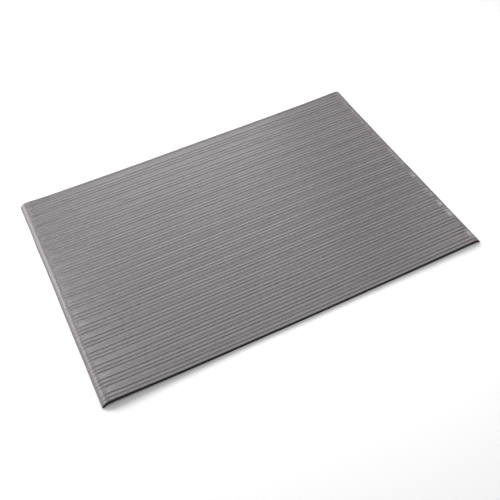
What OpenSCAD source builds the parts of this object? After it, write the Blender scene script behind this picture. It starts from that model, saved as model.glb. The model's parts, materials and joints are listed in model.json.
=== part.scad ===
// Ribbed anti-fatigue mat: an embossed vinyl wear layer, a closed-cell foam core and a non-slip base skin.
// The origin is the centre of the underside. The ribs run along X, the mat's long side, and +Z is up.

/* [Mat] */
// Length along the ribs
mat_length = 914.4; // [600:0.1:1600]
// Width across the ribs
mat_width = 609.6; // [400:0.1:1000]
// Thickness over the tops of the ribs
mat_thickness = 9.5; // [8:0.1:16]

/* [Layers] */
// Thickness of the vinyl wear layer
wear_thickness = 0.6; // [0.4:0.1:1.5]
// Thickness of the base skin
base_thickness = 0.5; // [0.3:0.1:0.8]

/* [Ribs] */
// Repeat of the pattern: one wide rib and a pair of narrow ribs
rib_repeat = 35.56; // [32:0.01:48]
// Distance from the front edge to the middle of the first wide rib
first_wide_rib = 23.5; // [18:0.1:32]
// Width of the wide rib at its foot
wide_rib = 13.6; // [10:0.1:16]
// Width of a narrow rib at its foot
narrow_rib = 4; // [3:0.1:5]
// Distance between the two narrow ribs of a pair
narrow_spacing = 8.1; // [6:0.1:10]
// Width of a rib's sloping flank
rib_flank = 1.2; // [0.8:0.1:1.4]
// Depth of the valleys between the ribs
rib_depth = 0.8; // [0.3:0.1:1.2]

/* [Ends] */
// Length of the rounded taper at each short end
taper_length = 14; // [10:0.5:20]
// Height of the upright edge left at the foot of the taper
toe_height = 1; // [1:0.1:2.5]

/* [Hidden] */
// Extra length on cutting shapes, so that no two faces coincide
margin = 5;
taper_rise = mat_thickness - toe_height;
taper_radius = (taper_length * taper_length + taper_rise * taper_rise) / (2 * taper_rise);
repeats = ceil((mat_width - first_wide_rib) / rib_repeat) + 1;
narrow_offset = (rib_repeat - narrow_spacing) / 2;
$fn = 128;

// Outline of one rib in the Y-Z plane: foot, crest, crest, foot
function rib_outline(middle, foot, valley) = [
    [middle - foot / 2, valley],
    [middle - foot / 2 + rib_flank, valley + rib_depth],
    [middle + foot / 2 - rib_flank, valley + rib_depth],
    [middle + foot / 2, valley],
];

// Outline of the wide rib and of the narrow pair behind it, in repeat number i
function repeat_outline(i, valley) =
    let (middle = first_wide_rib - mat_width / 2 + i * rib_repeat)
    concat(
        rib_outline(middle, wide_rib, valley),
        rib_outline(middle + narrow_offset, narrow_rib, valley),
        rib_outline(middle + narrow_offset + narrow_spacing, narrow_rib, valley)
    );

// Cross-section of the ribbed slab, its rib tops at height top. It is wider than the mat.
module ribbed_section(top) {
    ribs = [for (i = [-1:repeats - 1]) each repeat_outline(i, top - rib_depth)];
    reach = ribs[len(ribs) - 1].x + margin;
    start = ribs[0].x - margin;
    valley = top - rib_depth;
    polygon(concat([[reach, valley], [reach, 0], [start, 0], [start, valley]], ribs));
}

// Lengthwise section with a rounded taper at both ends, shrunk all over by inset
module tapered_section(inset) {
    straight = mat_length - 2 * taper_length;
    intersection() {
        union() {
            translate([-straight / 2, 0])
                square([straight, mat_thickness - inset]);
            for (side = [-1, 1])
                translate([side * straight / 2, mat_thickness - taper_radius])
                    circle(r = taper_radius - inset);
        }
        translate([-mat_length / 2, 0])
            square([mat_length, mat_thickness]);
    }
}

// Solid bounded by the ribs above and by the tapers at the ends, width wide
module embossed_solid(inset, width) {
    intersection() {
        rotate([90, 0, 90])
            linear_extrude(height = mat_length + 2 * margin, center = true)
                ribbed_section(mat_thickness - inset);
        rotate([90, 0, 0])
            linear_extrude(height = width, center = true)
                tapered_section(inset);
    }
}

// Slab of the base skin's height, reach longer and wider than the mat
module base_slab(reach) {
    translate([-mat_length / 2 - reach, -mat_width / 2 - reach, -reach])
        cube([mat_length + 2 * reach, mat_width + 2 * reach, base_thickness + reach]);
}

// Grey vinyl sheet that carries the ribs and rolls down over both short ends
module wear_layer() {
    color("#8c8888")
        difference() {
            embossed_solid(0, mat_width);
            embossed_solid(wear_thickness, mat_width + margin);
            base_slab(margin);
        }
}

// Black closed-cell sponge, open to view along both long sides
module foam_core() {
    color("#1e1c18")
        difference() {
            embossed_solid(wear_thickness, mat_width);
            base_slab(margin);
        }
}

// Thin dense skin that grips the floor
module base_skin() {
    color("#262524")
        base_slab(0);
}

wear_layer();
foam_core();
base_skin();
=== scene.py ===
"""Ribbed anti-fatigue mat: a vinyl wear sheet, a sponge core and a grip skin, built round the CAD part.

Everything is in metres in the part's own frame: X runs along the ribs, Y across them and Z up. Left is -X,
right is +X, near is -Y and far is +Y. An inset is a distance in from the nearer short end.
"""

import json
import math

import bpy
import numpy as np
from mathutils import Matrix, Vector


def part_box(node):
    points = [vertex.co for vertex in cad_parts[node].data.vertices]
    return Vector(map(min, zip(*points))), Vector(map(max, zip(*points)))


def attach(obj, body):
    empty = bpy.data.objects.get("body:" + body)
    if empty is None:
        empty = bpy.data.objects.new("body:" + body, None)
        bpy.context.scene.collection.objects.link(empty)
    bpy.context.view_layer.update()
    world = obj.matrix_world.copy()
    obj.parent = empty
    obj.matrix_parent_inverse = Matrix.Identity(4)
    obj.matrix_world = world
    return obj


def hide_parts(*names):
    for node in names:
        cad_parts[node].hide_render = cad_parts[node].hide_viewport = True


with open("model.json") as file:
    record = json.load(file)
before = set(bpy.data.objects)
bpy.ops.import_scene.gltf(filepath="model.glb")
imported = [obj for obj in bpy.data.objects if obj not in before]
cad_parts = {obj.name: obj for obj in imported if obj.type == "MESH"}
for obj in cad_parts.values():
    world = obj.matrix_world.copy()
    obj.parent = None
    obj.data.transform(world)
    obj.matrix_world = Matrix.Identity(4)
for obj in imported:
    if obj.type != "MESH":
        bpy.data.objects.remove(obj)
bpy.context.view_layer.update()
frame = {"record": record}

MM = 0.001

# ---------------------------------------------------------------- sizes from the CAD part

wear_low, wear_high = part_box("wear_layer")
LENGTH = wear_high.x - wear_low.x
WIDTH = wear_high.y - wear_low.y
TOP = wear_high.z
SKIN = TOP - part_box("foam_core")[1].z
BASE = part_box("base_skin")[1].z
TREAD = next(m for m in frame["record"]["mounts"] if m["name"] == "tread")

# ---------------------------------------------------------------- the rib pattern

# One wide rib and two narrow ones between it and the next. A flank is the width of a rib's rounded side.
RIB_REPEAT = 35.56 * MM
RIB_HEIGHT = 1.0 * MM
WIDE_RIB_Y = TREAD["pos_m"][1]
NARROW_RIB = 4.8 * MM
NARROW_SPACING = 8.1 * MM
NARROW_FLANK = 1.55 * MM
NARROW_OFFSETS = [(RIB_REPEAT + side * NARROW_SPACING) / 2 for side in (-1, 1)]

# The wide rib, measured from its middle: a ridge on its near side and beside it a flat top, the plateau,
# whose height is given as a share of the ridge's.
WIDE_NEAR = 7.5 * MM
WIDE_FAR = 8.0 * MM
NEAR_FLANK = 2.1 * MM
FAR_FLANK = 3.1 * MM
RIDGE = -4.1 * MM
RIDGE_SIDE = 2.3 * MM
PLATEAU = 0.74

# How much higher the ribs are at the right end than in the middle, and how much lower at the left end.
DEEPER_RIGHT = 0.22

# How far the ribs in the far part lie nearer than an even repeat would put them. The drift starts at some Y
# and grows to full over a width. Both have one value in the left half, and ease to a second one over a
# distance right of the middle. In a margin along both long sides the ribs come back to their even places.
FAR_DRIFT = 2.6 * MM
DRIFT_STARTS = (95 * MM, 0)
DRIFT_WIDTHS = (60 * MM, 200 * MM)
DRIFT_EASE = 250 * MM
DRIFT_MARGIN = 30 * MM

# ---------------------------------------------------------------- the pressed ends

# The sheet curves down over the taper to the toe, a thin edge.
TAPER = 14 * MM
TOE = 1.0 * MM
TAPER_RISE = TOP - RIB_HEIGHT - TOE
TAPER_RADIUS = (TAPER**2 + TAPER_RISE**2) / (2 * TAPER_RISE)

# The ribs are crushed from the end in. They start to rise at one inset and are whole at another, which is
# given for the left end and for the right end. The share of them that is never crushed grows from the far
# value to the near one, over a reach from a distance on the near side of the middle.
CRUSH_START = 3 * MM
CRUSH_ENDS = (44 * MM, 20 * MM)
CRUSH_RAGGED = 1.5 * MM
KEPT_FAR = 0.12
KEPT_NEAR = 0.30
KEPT_START = 20 * MM
KEPT_REACH = 200 * MM

# ---------------------------------------------------------------- marks on the vinyl

# The width of the painted shade on the toe at the left end and at the right end, and where it is gone, in
# those widths.
TOE_SHADE_WIDTHS = (1.3 * MM, 5.5 * MM)
TOE_SHADE_GONE = 1.3

# A crest, which gets a painted highlight, is what stands above this share of a rib's height. The pressed
# band, whose paler grey is partly painted highlight, ends this many tapers in.
CREST_START = 0.8
PRESSED_TAPERS = 1.5

# Pale patches of painted highlight over the crushed ribs along the right end: the insets where their band
# starts and ends, the widths of its soft edges, how much of it they fill, their strength at the far side,
# the share of the width over which that grows to full, their strength in the valleys, and the share of a
# rib's height where that is full.
PAINTED_GLINT_BAND = (7 * MM, 21 * MM)
PAINTED_GLINT_EDGES = (4 * MM, 9 * MM)
PAINTED_GLINT_FILL = 0.25
PAINTED_GLINT_FAR = 0.25
PAINTED_GLINT_SPREAD = 0.3
PAINTED_GLINT_VALLEYS = 0.35
PAINTED_GLINT_FULL = 0.3

# ---------------------------------------------------------------- the cut edges

# The knife drags the sheet down along both long sides, by this much and over this distance.
KNIFE_DIP = 0.25 * MM
KNIFE_REACH = 1.6 * MM

# The sponge stops short of the toe, clears the sheet over it, and has hollow, ragged cut faces, set back.
CORE_INSET = 1.3 * MM
CORE_GAP = 0.15 * MM
CORE_HOLLOW = 0.25 * MM
CORE_SETBACK = 0.1 * MM
CORE_ROUGHNESS = 0.07 * MM
CORE_RINGS = 1100
CORE_SEED = 21

# ---------------------------------------------------------------- unevenness

# Each ripple: its size, its wavelength and its seed. Those with a size of 1 are scaled where they are used.
END_WAVER = (0.35 * MM, 110 * MM, 14)
SIDE_WAVER = (0.3 * MM, 260 * MM, 15)
BROAD_SWELL = (0.14 * MM, 170 * MM, 8)
SMALL_SWELL = (0.05 * MM, 45 * MM, 9)
HEIGHT_WAVER = (0.16, 70 * MM, 5)
RIB_WANDER = (0.3 * MM, 400 * MM, 3)
PRESS_LINE = (0.25, 30 * MM, 17)
PAINTED_GLINT_PATCHES = (1.8, 26 * MM, 168)
END_DENTS = (1, 26 * MM, 12)
PEBBLES = (1, 14 * MM, 31)

# The ribs' heights vary this many times faster across the mat than along it.
HEIGHT_SQUEEZE = 4

# The swells lie this much below the full height on average. The dents are in the tapers, clear of the toe.
SWELL_DEPTH = 0.12 * MM
DENT_DEPTH = 0.22 * MM
DENT_START = 2 * MM

# ---------------------------------------------------------------- the grip skin

# It stops just short of both ends. Its pebble fades out in a margin along both long sides, and the fine
# grid that carries the pebble starts at a border.
SKIN_INSET = 0.1 * MM
SKIN_BORDER = 2 * MM
PEBBLE_HEIGHT = 0.07 * MM
PEBBLE_MARGIN = 3 * MM

# ---------------------------------------------------------------- how the mat lies

# Where the mat arches off the floor: its side in X, its side in Y, the height, and the reach along X and
# along Y. A side of 0 in Y takes in the whole end. The pressed edge at the end itself stays down.
ARCHES = [
    (-1, 0, 4.2 * MM, 370 * MM, None),
    (-1, -1, 4.4 * MM, 370 * MM, 120 * MM),
    (1, -1, 3.4 * MM, 500 * MM, 160 * MM),
    (-1, 1, 1.6 * MM, 90 * MM, 70 * MM),
    (1, 1, 1.8 * MM, 100 * MM, 70 * MM),
]
ARCH_RISE = 26 * MM

# Corners that curl up whole, pressed edge and all: the sides, the height and the reaches.
CURLS = [
    (1, 1, 2.6 * MM, 170 * MM, 150 * MM),
    (-1, 1, 1.8 * MM, 60 * MM, 90 * MM),
]

# How far the cut outline strays from the rectangle, and how sharply that fades in from each side.
LEFT_GROWTH = 1.2 * MM
FAR_GROWTH = 1.7 * MM
NEAR_GROWTH = 0.6 * MM
OUTLINE_POWER = 5

# The near right corner is drawn in, by this much along each side, over these reaches.
NEAR_RIGHT_PULL = 1.0 * MM
PULL_X = 500 * MM
PULL_Y = 200 * MM


def smooth(t):
    """Eases 0 to 1 with flat ends."""
    t = np.clip(t, 0, 1)
    return t * t * (3 - 2 * t)


def fade(distance, reach):
    """1 at a distance of 0, down to 0 at the reach and past it."""
    return np.clip(1 - distance / reach, 0, None)


def ripple(x, y, kind):
    """Gentle bumps of a kind's size and wavelength, the same ones on each run."""
    size, wave, seed = kind
    waves = 6
    draw = np.random.default_rng(seed).uniform
    total = np.zeros(np.broadcast(x, y).shape)
    for _ in range(waves):
        turn, stretch, phase = draw(0, math.pi), draw(0.7, 1.5), draw(0, math.tau)
        along = x * math.cos(turn) + y * math.sin(turn)
        total += np.sin(math.tau * along / (wave * stretch) + phase)
    return size * (total / math.sqrt(2 * waves))


def lift(x, y):
    """How far the mat stands off the floor at a point."""
    total = np.zeros(np.broadcast(x, y).shape)
    for side_x, side_y, height, reach_x, reach_y in ARCHES:
        inset = LENGTH / 2 - side_x * x
        arch = height * fade(inset, reach_x) ** 2 * smooth(inset / ARCH_RISE) ** 0.5
        if side_y:
            arch = arch * fade(WIDTH / 2 - side_y * y, reach_y) ** 1.5
        total += arch
    for side_x, side_y, height, reach_x, reach_y in CURLS:
        along = fade(LENGTH / 2 - side_x * x, reach_x)
        across = fade(WIDTH / 2 - side_y * y, reach_y)
        total += height * along * across * (along + across) / 2
    return total


def settled(points):
    """Moves points of a flat, straight mat to where they lie, with an uneven outline and raised ends."""
    x, y, z = points[..., 0], points[..., 1], points[..., 2]
    pull = NEAR_RIGHT_PULL * fade(LENGTH / 2 - x, PULL_X) ** 2 * fade(WIDTH / 2 + y, PULL_Y) ** 1.5
    x = x + ripple(0 * x, y, END_WAVER) * (2 * x / LENGTH) ** OUTLINE_POWER
    x = x - LEFT_GROWTH * np.clip(-2 * x / LENGTH, 0, 1) ** OUTLINE_POWER
    y = y + ripple(x, 0 * y, SIDE_WAVER) * (2 * y / WIDTH) ** OUTLINE_POWER
    far = np.clip(2 * y / WIDTH, 0, 1) ** OUTLINE_POWER
    near = np.clip(-2 * y / WIDTH, 0, 1) ** OUTLINE_POWER
    x, y = x - pull, y + FAR_GROWTH * far - NEAR_GROWTH * near + pull
    step = MM
    slope_x = (lift(x + step, y) - lift(x - step, y)) / (2 * step)
    slope_y = (lift(x, y + step) - lift(x, y - step)) / (2 * step)
    return np.stack([x - z * slope_x, y - z * slope_y, z + lift(x, y)], axis=-1)


# ---------------------------------------------------------------- the ribbed surface


def from_wide_rib(y):
    """Distance across the mat from the middle of the nearest wide rib."""
    return (y - WIDE_RIB_Y + RIB_REPEAT / 2) % RIB_REPEAT - RIB_REPEAT / 2


def rib_profile(y):
    """Height of the ribs over the valleys at a distance across the mat, from 0 to 1."""
    back = (y - WIDE_RIB_Y) % RIB_REPEAT
    narrow = [smooth((NARROW_RIB / 2 - np.abs(back - o)) / NARROW_FLANK) for o in NARROW_OFFSETS]
    off = from_wide_rib(y)
    wide = smooth((WIDE_NEAR + off) / NEAR_FLANK) * smooth((WIDE_FAR - off) / FAR_FLANK)
    ridge = smooth(1 - np.abs(off - RIDGE) / RIDGE_SIDE)
    return sum(narrow) + PLATEAU * wide + (1 - PLATEAU) * ridge


def flat_top_shade(y):
    """How much of a point is on the wide rib's flat top, beside its ridge, where shade is painted."""
    off = from_wide_rib(y)
    past_ridge = smooth((off - RIDGE - RIDGE_SIDE / 2) / RIDGE_SIDE)
    before_flank = smooth((WIDE_FAR - FAR_FLANK / 2 - off) / FAR_FLANK)
    return past_ridge * before_flank


def taper_height(inset):
    """Height of the valleys at an inset: a round taper, then flat."""
    along = np.clip(TAPER - inset, 0, TAPER)
    return TOP - RIB_HEIGHT - TAPER_RADIUS + np.sqrt(TAPER_RADIUS**2 - along**2)


def taper_lean(inset):
    """Sine of the angle that the valleys slope at."""
    return np.clip((TAPER - inset) / TAPER_RADIUS, 0, 1)


def rib_rows():
    """Where the wear sheet has a line along X: close together on the flanks, wide apart on the flats."""
    steps = np.array([0, 0.25, 0.5, 0.75, 1])
    side = NARROW_RIB / 2 - NARROW_FLANK * steps
    narrow = [*-side, *side[::-1]]
    near = [*(NEAR_FLANK * steps - WIDE_NEAR), RIDGE, *(RIDGE + RIDGE_SIDE * steps[1:])]
    plateau = [0, 2 * MM]
    wide = [*near, *plateau, *(WIDE_FAR - FAR_FLANK * steps[::-1])]
    offsets = wide + [o + t for o in NARROW_OFFSETS for t in narrow]
    reach = math.ceil(WIDTH / RIB_REPEAT)
    rows = np.array([WIDE_RIB_Y + i * RIB_REPEAT + o for i in range(-reach, reach) for o in offsets])
    edge_gap = 0.3 * MM
    inside = np.sort(rows[np.abs(rows) < WIDTH / 2 - edge_gap])
    return np.concatenate([[-WIDTH / 2], inside, [WIDTH / 2]])


def end_columns():
    """Insets of the wear sheet's lines along Y at a short end, and how far up the toe each is."""
    toe_inset = [0, 0, 0.06, 0.22]
    toe_rise = [0, 0.5, 0.85, 1]
    taper = [0.55, 1, 1.6, 2.3, 3.1, 4, 5, 6, 7, 8, 9, 10, 11, 12, 13, 14.5, 17, 21, 28, 40]
    return np.array(toe_inset + taper) * MM, np.array(toe_rise + [1] * len(taper))


def sheet_columns():
    """X of the wear sheet's lines along Y from end to end, with their rises."""
    inset, rise = end_columns()
    lines = 24
    middle = np.linspace(-LENGTH / 2 + inset[-1], LENGTH / 2 - inset[-1], lines)[1:-1]
    x = np.concatenate([inset - LENGTH / 2, middle, LENGTH / 2 - inset[::-1]])
    return x, np.concatenate([rise, np.ones(len(middle)), rise[::-1]])


def rib_shift(x, y):
    """How far a rib lies off its even place across the mat, which fades out at the long sides."""
    rightness = smooth(x / DRIFT_EASE)
    start = DRIFT_STARTS[0] + (DRIFT_STARTS[1] - DRIFT_STARTS[0]) * rightness
    width = DRIFT_WIDTHS[0] + (DRIFT_WIDTHS[1] - DRIFT_WIDTHS[0]) * rightness
    shift = ripple(x, 0 * y, RIB_WANDER) - FAR_DRIFT * smooth((y - start) / width)
    return shift * smooth((WIDTH / 2 - np.abs(y)) / DRIFT_MARGIN)


def ribbed_surface(x, y, rise):
    """Points of a flat-lying mat's top, and how much of each point is rib."""
    inset = LENGTH / 2 - np.abs(x)
    dents = ripple(0 * x, y, END_DENTS)
    crush_end = np.where(x < 0, *CRUSH_ENDS)
    whole = smooth((inset - CRUSH_START - CRUSH_RAGGED * dents) / (crush_end - CRUSH_START))
    kept = KEPT_FAR + (KEPT_NEAR - KEPT_FAR) * smooth((-y - KEPT_START) / KEPT_REACH)
    ribs = rib_profile(y) * (kept + (1 - kept) * whole) * rise
    heights = 1 + ripple(x, HEIGHT_SQUEEZE * y, HEIGHT_WAVER) + DEEPER_RIGHT * 2 * x / LENGTH
    rib_height = RIB_HEIGHT * (ribs * heights - DEEPER_RIGHT * x / LENGTH)
    swell = ripple(x, y, BROAD_SWELL) + ripple(x, y, SMALL_SWELL) - SWELL_DEPTH
    swell = swell * smooth(inset / (2 * TAPER))
    dent = DENT_DEPTH * dents * smooth(1 - inset / TAPER) * smooth(inset / DENT_START)
    knife = KNIFE_DIP * smooth(1 - (WIDTH / 2 - np.abs(y)) / KNIFE_REACH)
    z = taper_height(inset) + rib_height + swell + dent - knife * rise
    z = BASE + (z - BASE) * rise
    return np.stack([x, y + rib_shift(x, y), z], axis=-1), ribs


def lower_surface(top, rise):
    """The wear sheet's lower side: its thickness in from the top, square to the taper."""
    x, z = top[..., 0], top[..., 2]
    lean = taper_lean(LENGTH / 2 - np.abs(x))
    inward = SKIN * np.where(rise < 1, 1, lean)
    low = np.maximum(z - SKIN * np.sqrt(1 - lean**2), BASE)
    return np.stack([x - np.sign(x) * inward, top[..., 1], np.where(rise < 1, BASE, low)], axis=-1)


# ---------------------------------------------------------------- mesh building

SHARP_ANGLE = 50


def mesh_object(name, points, faces, material, attributes=None):
    """A smooth-shaded object with sharp cut edges, from points and faces."""
    mesh = bpy.data.meshes.new(name)
    mesh.from_pydata(points.tolist(), [], faces)
    for key, values in (attributes or {}).items():
        mesh.attributes.new(key, "FLOAT", "POINT").data.foreach_set("value", values.astype(np.float32))
    mesh.update()
    mesh.shade_smooth()
    mesh.set_sharp_from_angle(angle=math.radians(SHARP_ANGLE))
    mesh.materials.append(material)
    piece = bpy.data.objects.new(name, mesh)
    bpy.context.scene.collection.objects.link(piece)
    return piece


def grid_faces(rows, columns, start=0, flip=False):
    """Quads over a grid of points stored row after row, facing up, or down if flipped."""
    r, c = np.meshgrid(np.arange(rows - 1), np.arange(columns - 1), indexing="ij")
    a = start + r * columns + c
    quads = np.stack([a, a + 1, a + columns + 1, a + columns], axis=-1).reshape(-1, 4)
    return (quads[:, ::-1] if flip else quads).tolist()


def rim(rows, columns):
    """Indices round the border of a grid, anticlockwise seen from above."""
    near = list(range(columns))
    right = [r * columns + columns - 1 for r in range(1, rows)]
    far = [(rows - 1) * columns + c for c in range(columns - 2, -1, -1)]
    left = [r * columns for r in range(rows - 2, 0, -1)]
    return near + right + far + left


def closed_shell(name, top, bottom, material, attributes=None):
    """A closed solid between two grids of the same shape, joined round their borders."""
    rows, columns = top.shape[:2]
    count = rows * columns
    points = np.concatenate([top.reshape(-1, 3), bottom.reshape(-1, 3)])
    faces = grid_faces(rows, columns) + grid_faces(rows, columns, count, flip=True)
    edge = rim(rows, columns)
    faces += [(a + count, b + count, b, a) for a, b in zip(edge, edge[1:] + edge[:1])]
    both = {key: np.concatenate([v.ravel(), v.ravel()]) for key, v in (attributes or {}).items()}
    return mesh_object(name, points, faces, material, both)


# ---------------------------------------------------------------- the three pieces


def painted_glint(x, y, inset):
    """Pale patches of painted highlight where the ribs are crushed along the right end, mostly in its near
    half.
    """
    start, end = PAINTED_GLINT_BAND
    start_edge, end_edge = PAINTED_GLINT_EDGES
    band = smooth((inset - start) / start_edge) * smooth((end - inset) / end_edge)
    patches = smooth(PAINTED_GLINT_FILL + ripple(0 * x, y, PAINTED_GLINT_PATCHES))
    strength = PAINTED_GLINT_FAR + (1 - PAINTED_GLINT_FAR) * smooth(0.5 - y / (PAINTED_GLINT_SPREAD * WIDTH))
    return np.where(x > 0, band * patches * strength, 0)


def make_wear_sheet(material):
    """The ribbed vinyl, rolled down over both short ends, with a thin cut edge along both long sides."""
    columns, rises = sheet_columns()
    x, y = np.meshgrid(columns, rib_rows())
    rise = np.broadcast_to(rises, x.shape)
    top, ribs = ribbed_surface(x, y, rise)
    under = lower_surface(top, rise)
    inset = LENGTH / 2 - np.abs(x)
    toe_shade_width = np.where(x < 0, *TOE_SHADE_WIDTHS)
    # The pressed band near the ends: a paler grey that is partly painted highlight, and a rougher finish.
    pressed_and_sheen = smooth(PRESSED_TAPERS - inset / TAPER + ripple(0 * x, y, PRESS_LINE))
    on_ribs = PAINTED_GLINT_VALLEYS + (1 - PAINTED_GLINT_VALLEYS) * smooth(ribs / PAINTED_GLINT_FULL)
    # Marks on the sheet: a painted highlight on the crests, painted shade on the flat tops and the toes,
    # the pressed band whose paler grey is partly painted highlight, and patches of painted highlight along
    # the right end.
    marks = {
        "crest": smooth((ribs - CREST_START) / (1 - CREST_START)),
        "flat_top_shade": flat_top_shade(y) * (1 - pressed_and_sheen),
        "pressed_and_sheen": pressed_and_sheen,
        "toe_shade": smooth(TOE_SHADE_GONE - inset / toe_shade_width),
        "pale_patch": painted_glint(x, y, inset) * on_ribs,
    }
    return closed_shell("vinyl_wear_sheet", settled(top), settled(under), material, marks)


def core_ring(x, random):
    """The sponge's outline across the mat at one X: base, far cut, top and near cut."""
    steps = 12
    up = np.linspace(0, 1, steps)
    inset = LENGTH / 2 - abs(x)
    lean = taper_lean(inset)
    high = taper_height(inset - SKIN * lean) - SKIN * math.sqrt(1 - lean**2) - CORE_GAP
    crush = smooth(inset / CRUSH_ENDS[int(x > 0)])
    hollow = CORE_HOLLOW * np.sin(math.pi * up) + CORE_SETBACK
    walls = []
    for side in (-1, 1):
        rim_height = high + RIB_HEIGHT * rib_profile(side * WIDTH / 2) * crush
        rough = np.abs(random.normal(0, CORE_ROUGHNESS, steps))
        rough[[0, -1]] = 0
        out = WIDTH / 2 - hollow - rough
        heights = BASE + (rim_height - BASE) * up
        walls.append([(x, side * y, z) for y, z in zip(out, heights)])
    near_wall, far_wall = walls
    across = np.linspace(-1, 1, steps)[1:-1] * WIDTH / 2
    low_row = [(x, y, BASE) for y in across]
    high_row = [(x, y, high) for y in across[::-1]]
    return low_row + far_wall + high_row + near_wall[::-1]


def make_core(material):
    """The sponge, cut with a knife along both long sides. Its top lies under the wear sheet."""
    random = np.random.default_rng(CORE_SEED)
    end = LENGTH / 2 - CORE_INSET
    rings = settled(np.array([core_ring(x, random) for x in np.linspace(-end, end, CORE_RINGS)]))
    count, around = rings.shape[:2]
    faces = []
    for i in range(count - 1):
        a, b = i * around, (i + 1) * around
        faces += [(a + j, b + j, b + (j + 1) % around, a + (j + 1) % around) for j in range(around)]
    faces.append(list(range(around)))
    faces.append([count * around - 1 - j for j in range(around)])
    return mesh_object("sponge_core", rings.reshape(-1, 3), faces, material)


def make_grip_skin(material):
    """The thin lower skin, pebbled underneath except along both long sides."""
    columns, rows = 220, 150
    side = WIDTH / 2
    end = LENGTH / 2 - SKIN_INSET
    inner = side - SKIN_BORDER
    across = np.concatenate([[-side], np.linspace(-inner, inner, rows), [side]])
    x, y = np.meshgrid(np.linspace(-end, end, columns), across)
    pebble = PEBBLE_HEIGHT * (1 + ripple(x, y, PEBBLES)) * smooth((side - np.abs(y)) / PEBBLE_MARGIN)
    top = np.stack([x, y, 0 * x + BASE], axis=-1)
    bottom = np.stack([x, y, np.clip(pebble, 0, None)], axis=-1)
    return closed_shell("grip_skin", settled(top), settled(bottom), material)


# ---------------------------------------------------------------- materials


class Nodes:
    """Short ways to add shader nodes to a new material."""

    def __init__(self, name):
        self.material = bpy.data.materials.new(name)
        self.material.use_nodes = True
        self.tree = self.material.node_tree
        self.shader = self.tree.nodes["Principled BSDF"]
        self.place = self.add("ShaderNodeTexCoord").outputs["Object"]

    def add(self, kind, **settings):
        """A new node of a kind, with its own settings."""
        node = self.tree.nodes.new(kind)
        for key, value in settings.items():
            setattr(node, key, value)
        return node

    def link(self, source, target):
        """Joins an output socket to an input socket."""
        self.tree.links.new(source, target)

    def stretched(self, scale):
        """Object coordinates scaled along each axis, in features per metre."""
        node = self.add("ShaderNodeMapping")
        node.inputs["Scale"].default_value = scale
        self.link(self.place, node.inputs["Vector"])
        return node.outputs["Vector"]

    def noise(self, scale, detail):
        """Soft noise with that many features per metre along each axis."""
        node = self.add("ShaderNodeTexNoise")
        self.link(self.stretched(scale), node.inputs["Vector"])
        node.inputs["Scale"].default_value = 1
        node.inputs["Detail"].default_value = detail
        node.inputs["Roughness"].default_value = 0.55
        return node.outputs["Fac"]

    def cells(self, scale, feature="F1"):
        """Distance from the middle of the nearest cell, with that many cells per metre along each axis."""
        node = self.add("ShaderNodeTexVoronoi", feature=feature)
        self.link(self.stretched(scale), node.inputs["Vector"])
        node.inputs["Scale"].default_value = 1
        return node.outputs["Distance"]

    def attribute(self, name, strength):
        """One of the mesh's marks, times a strength."""
        mark = self.add("ShaderNodeAttribute", attribute_name=name).outputs["Fac"]
        return self.math("MULTIPLY", mark, strength)

    def spread(self, value, low, high, to_low, to_high):
        """A value's range low to high, moved to another range."""
        node = self.add("ShaderNodeMapRange")
        self.link(value, node.inputs["Value"])
        for key, number in (("From Min", low), ("From Max", high), ("To Min", to_low), ("To Max", to_high)):
            node.inputs[key].default_value = number
        return node.outputs["Result"]

    def math(self, operation, first, second):
        """A sum or product of two sockets or numbers."""
        node = self.add("ShaderNodeMath", operation=operation)
        for socket, value in zip(node.inputs, (first, second)):
            if isinstance(value, (int, float)):
                socket.default_value = value
            else:
                self.link(value, socket)
        return node.outputs["Value"]

    def mix(self, factor, first, second):
        """Two colours, or sockets, mixed by a factor."""
        node = self.add("ShaderNodeMix", data_type="RGBA")
        self.link(factor, node.inputs["Factor"])
        for socket, value in ((node.inputs[6], first), (node.inputs[7], second)):
            if isinstance(value, tuple):
                socket.default_value = (*value, 1)
            else:
                self.link(value, socket)
        return node.outputs[2]

    def bump(self, height, distance, strength, after=None):
        """A bump of a depth and strength, over another normal if one is given."""
        node = self.add("ShaderNodeBump")
        node.inputs["Distance"].default_value = distance
        node.inputs["Strength"].default_value = strength
        self.link(height, node.inputs["Height"])
        if after is not None:
            self.link(after, node.inputs["Normal"])
        return node.outputs["Normal"]

    def finish(self, color, roughness, normal=None, specular=0.5):
        """Sets what the surface shader takes, and gives the finished material."""
        self.link(color, self.shader.inputs["Base Color"])
        self.link(roughness, self.shader.inputs["Roughness"])
        if normal is not None:
            self.link(normal, self.shader.inputs["Normal"])
        self.shader.inputs["Specular IOR Level"].default_value = specular
        return self.material


# What shows over the vinyl's own grey, lowest first: the mark, its strength and its grey level. The crest
# highlight, the flat-top shade, the right end's pale patches and the toe shade are painted light and shade;
# the pressed band's paler grey is partly painted highlight.
VINYL_MARKS = [
    ("crest", 0.6, 0.230),
    ("flat_top_shade", 0.40, 0.055),
    ("pressed_and_sheen", 0.45, 0.190),
    ("pale_patch", 0.9, 0.330),
    ("toe_shade", 0.95, 0.022),
]
VINYL_DARK = 0.052
VINYL_PALE = 0.156
VINYL_STREAK = 0.160


def warm_grey(level):
    """The vinyl's hue at a level."""
    return (level, 0.91 * level, 0.935 * level)


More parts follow.
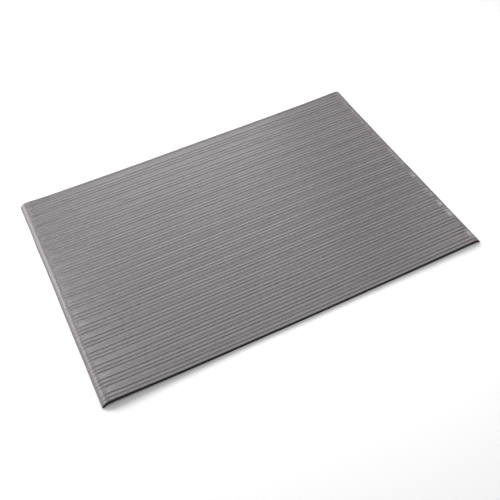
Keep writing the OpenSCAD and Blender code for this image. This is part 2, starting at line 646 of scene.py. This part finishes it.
def vinyl_material():
    """Grey satin vinyl: fine grain, streaks along the ribs, a painted highlight on the crests, painted
    shade on the flat tops and toes, patches of painted highlight along the right end, and a pressed band
    whose paler grey is partly painted highlight.
    """
    n = Nodes("ribbed_vinyl")
    mottle = n.noise((9, 12, 9), detail=4)
    streak = n.noise((12, 330, 330), detail=3)
    fleck = n.noise((280, 320, 320), detail=3)
    grain = n.cells((1500, 1500, 1500))
    fine = n.noise((2600, 2600, 2600), detail=2)
    color = n.mix(n.spread(fleck, 0.3, 0.7, 0, 1), warm_grey(VINYL_DARK), warm_grey(VINYL_PALE))
    color = n.mix(n.spread(streak, 0.35, 0.75, 0, 0.45), color, warm_grey(VINYL_STREAK))
    color = n.mix(n.spread(mottle, 0.3, 0.7, 0, 0.12), color, warm_grey(VINYL_STREAK))
    for mark, strength, level in VINYL_MARKS:
        color = n.mix(n.attribute(mark, strength), color, warm_grey(level))
    satin = n.math("ADD", n.spread(streak, 0.3, 0.7, 0.32, 0.25), n.spread(fine, 0.3, 0.7, -0.04, 0.04))
    ends = n.math("ADD", n.attribute("toe_shade", 0.4), n.attribute("pressed_and_sheen", 0.16))
    rough = n.math("ADD", satin, ends)
    normal = n.bump(grain, 0.05 * MM, 0.7)
    normal = n.bump(fine, 0.03 * MM, 0.5, normal)
    normal = n.bump(streak, 0.13 * MM, 0.6, normal)
    normal = n.bump(fleck, 0.16 * MM, 0.6, normal)
    return n.finish(color, rough, normal)


def sponge_material():
    """Near-black closed-cell sponge, cut through its cells, with a little pale dust."""
    n = Nodes("black_sponge")
    cell = n.cells((1300, 1300, 1300))
    pore = n.cells((620, 620, 620))
    dust = n.noise((150, 150, 150), detail=4)
    color = n.mix(n.spread(cell, 0.1, 0.6, 0, 1), (0.0052, 0.0046, 0.0040), (0.0150, 0.0134, 0.0115))
    color = n.mix(n.spread(dust, 0.45, 0.8, 0, 0.4), color, (0.026, 0.023, 0.019))
    rough = n.spread(dust, 0.3, 0.7, 0.82, 0.95)
    normal = n.bump(cell, 0.25 * MM, 0.9)
    normal = n.bump(pore, 0.3 * MM, 0.5, normal)
    return n.finish(color, rough, normal, specular=0.3)


def skin_material():
    """Dark dense lower skin with a fine pebble that grips the floor."""
    n = Nodes("grip_skin_rubber")
    pebble = n.cells((420, 420, 420), feature="SMOOTH_F1")
    pale_patch = n.noise((60, 60, 60), detail=5)
    color = n.mix(n.spread(pale_patch, 0.35, 0.75, 0, 1), (0.010, 0.0098, 0.0095), (0.022, 0.0215, 0.021))
    rough = n.spread(pale_patch, 0.3, 0.7, 0.68, 0.85)
    normal = n.bump(pebble, 0.3 * MM, 0.8)
    return n.finish(color, rough, normal, specular=0.4)


def floor_material():
    """A nearly white, matt floor."""
    n = Nodes("pale_floor")
    shade = n.noise((1.5, 1.5, 1.5), detail=2)
    color = n.mix(shade, (0.935, 0.935, 0.935), (0.945, 0.945, 0.945))
    rough = n.spread(shade, 0, 1, 0.7, 0.8)
    return n.finish(color, rough, specular=0.2)


# ---------------------------------------------------------------- floor, lights and camera

FLOOR_REACH = 20
WORLD_STRENGTH = 0.22

# Long lights hanging over the mat and facing down: name, place, length and watts.
STRIP_LIGHTS = [
    ("strip_middle", (0.06, 0.25, 0.75), 1.1, 2.3),
    ("strip_far", (0.06, 0.58, 0.58), 1.0, 0.6),
    ("strip_near", (0.36, -0.20, 0.90), 0.8, 1.2),
]
STRIP_WIDTH = 0.3

# Lights aimed at the mat's middle from all round: name, azimuth, elevation, width, height and watts.
FAR_LIGHTS = [
    ("key_back_left", -53, 25, 1.2, 1.0, 50),
    ("left_low", -90, 18, 1.2, 0.7, 8),
    ("high_back_left", -22, 52, 0.6, 0.6, 14),
    ("back", 13, 33, 1.4, 0.7, 17.5),
    ("back_right", 42, 22, 0.8, 0.6, 5),
    ("front", 160, 60, 1.8, 1.2, 15),
]
LIGHT_DISTANCE = 2.6

# One small light over the right end.
GLINT_PLACE = Vector((0.88, 0.12, 0.65))
GLINT_AIM = Vector((0.43, -0.25, 0))

# The camera looks from the front left at a point on the floor.
CAMERA_TARGET = Vector((-0.09153, -0.05329, 0))
CAMERA_AZIMUTH = 201.10
CAMERA_ELEVATION = 50.79
CAMERA_ROLL = -5.355
CAMERA_DISTANCE = 1.64587
CAMERA_LENS = 51.32
CAMERA_SHIFT = (0.0691, 0.0079)


def direction(azimuth, elevation):
    """A unit vector out from the mat, by angles in degrees: azimuth 0 is the far side, and 90 the right."""
    a, e = math.radians(azimuth), math.radians(elevation)
    return Vector((math.sin(a) * math.cos(e), math.cos(a) * math.cos(e), math.sin(e)))


def make_floor():
    """A wide square floor under the mat."""
    far = FLOOR_REACH
    corners = [(-far, -far, 0), (far, -far, 0), (far, far, 0), (-far, far, 0)]
    floor = mesh_object("floor", np.array(corners, float), [(0, 1, 2, 3)], floor_material())


def soft_light(name, place, aim, width, height, watts):
    """An area light at a place, facing a point."""
    data = bpy.data.lights.new(name, "AREA")
    data.shape = "RECTANGLE"
    data.size, data.size_y = width, height
    data.energy = watts
    light = bpy.data.objects.new(name, data)
    light.location = place
    light.rotation_mode = "QUATERNION"
    light.rotation_quaternion = (place - aim).to_track_quat("Z", "Y")
    bpy.context.scene.collection.objects.link(light)


def make_world():
    """Even white light from all round."""
    world = bpy.data.worlds.new("studio")
    world.use_nodes = True
    background = world.node_tree.nodes["Background"]
    background.inputs["Color"].default_value = (1, 1, 1, 1)
    background.inputs["Strength"].default_value = WORLD_STRENGTH
    bpy.context.scene.world = world


def make_lights():
    """Strips over the mat, a glint at its right end, a broad key at the back left, and weaker lights."""
    make_world()
    for name, (x, y, z), length, watts in STRIP_LIGHTS:
        soft_light(name, Vector((x, y, z)), Vector((x, y, 0)), length, STRIP_WIDTH, watts)
    soft_light("right_glint", GLINT_PLACE, GLINT_AIM, 0.35, 0.45, 1.2)
    for name, azimuth, elevation, width, height, watts in FAR_LIGHTS:
        place = direction(azimuth, elevation) * LIGHT_DISTANCE
        soft_light(name, place, Vector(), width, height, watts)


def make_camera():
    """The view down on the mat from its front left, turned a little about the line of sight."""
    back = direction(CAMERA_AZIMUTH, CAMERA_ELEVATION)
    roll = math.radians(CAMERA_ROLL)
    across = Vector((0, 0, 1)).cross(back).normalized()
    turned = across * math.cos(roll) + back.cross(across) * math.sin(roll)
    axes = Matrix((turned, back.cross(turned), back)).transposed()
    data = bpy.data.cameras.new("camera")
    data.sensor_width = 36
    data.lens = CAMERA_LENS
    data.shift_x, data.shift_y = CAMERA_SHIFT
    data.clip_start, data.clip_end = 0.01, 100
    camera = bpy.data.objects.new("camera", data)
    camera.matrix_world = Matrix.Translation(CAMERA_TARGET + back * CAMERA_DISTANCE) @ axes.to_4x4()
    bpy.context.scene.collection.objects.link(camera)
    bpy.context.scene.camera = camera


# ---------------------------------------------------------------- assembly


def build():
    """The camera, the floor and lights, and the mat's three pieces in place of their CAD nodes."""
    make_camera()
    make_floor()
    make_lights()
    bpy.context.scene.view_settings.view_transform = "Standard"
    wear = make_wear_sheet(vinyl_material())
    core = make_core(sponge_material())
    skin = make_grip_skin(skin_material())
    stand_ins = [
        (wear, "wear_layer", "ribbed_vinyl"),
        (core, "foam_core", "black_foam"),
        (skin, "base_skin", "base_rubber"),
    ]
    for piece, node, slot in stand_ins:
        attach(piece, "root")
        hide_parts(node)


build()
